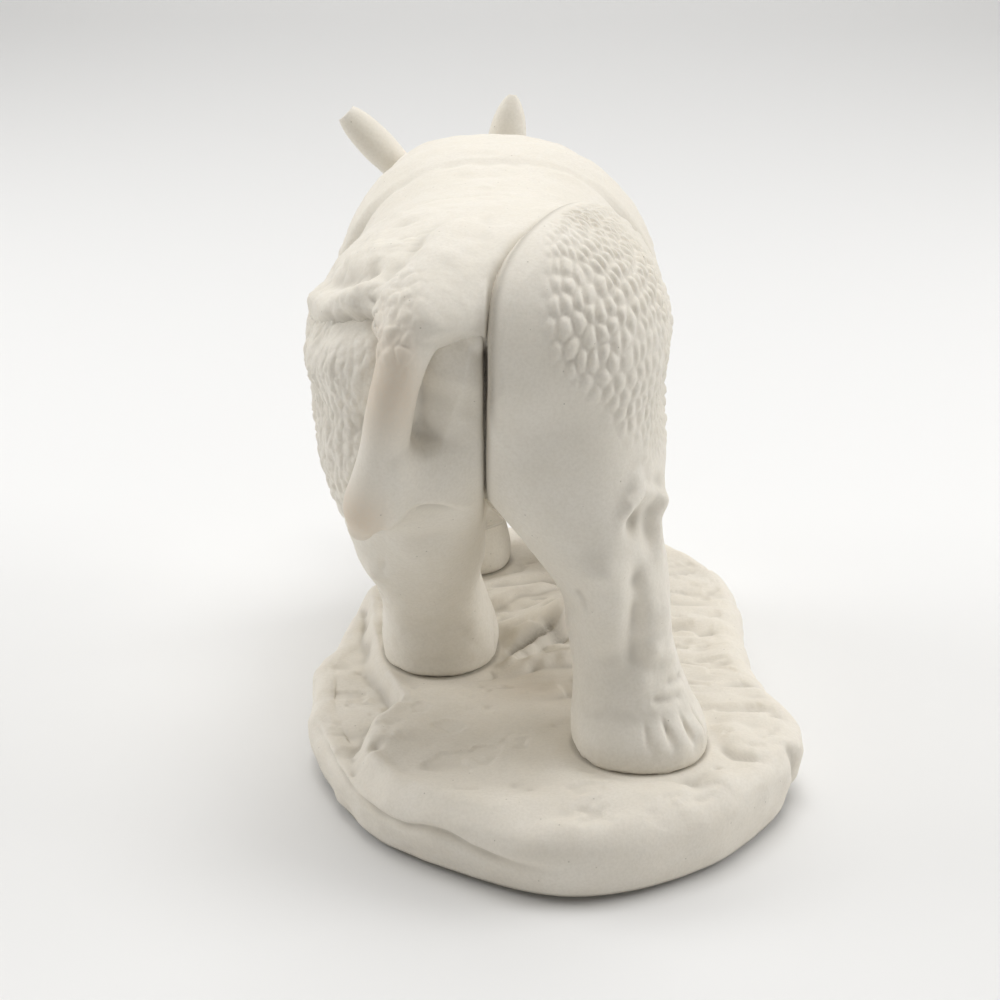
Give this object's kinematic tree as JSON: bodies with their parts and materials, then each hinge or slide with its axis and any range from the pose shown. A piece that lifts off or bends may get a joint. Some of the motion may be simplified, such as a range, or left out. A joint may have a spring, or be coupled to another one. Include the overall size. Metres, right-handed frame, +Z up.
{
  "type": "rhinoceros figurine",
  "caption": "Unglazed porcelain figurine of a one-horned rhinoceros walking over a low rock plinth, with plated hide and a hanging tail.",
  "frame": {"origin": "middle of the part's box, on the table that the plinth stands on", "axes": "+Z up, the animal looks along -Y, its left side is +X"},
  "size_m": [0.1472, 0.2778, 0.1789],
  "materials": {
    "bisque_rock": "matt unglazed biscuit porcelain, warm ivory grey",
    "bisque_hide": "matt unglazed biscuit porcelain, ivory white with a hide texture",
    "bisque_smooth": "matt unglazed biscuit porcelain, smoothed by handling"
  },
  "bodies": {
    "root": {"plinth": "bisque_rock", "body": "bisque_hide", "head": "bisque_hide", "horn": "bisque_smooth", "ear_left": "bisque_smooth", "ear_right": "bisque_smooth", "tail": "bisque_smooth", "leg_hind_left": "bisque_hide", "leg_hind_right": "bisque_hide", "leg_front_left": "bisque_hide", "leg_front_right": "bisque_hide"}
  },
  "joints": []
}
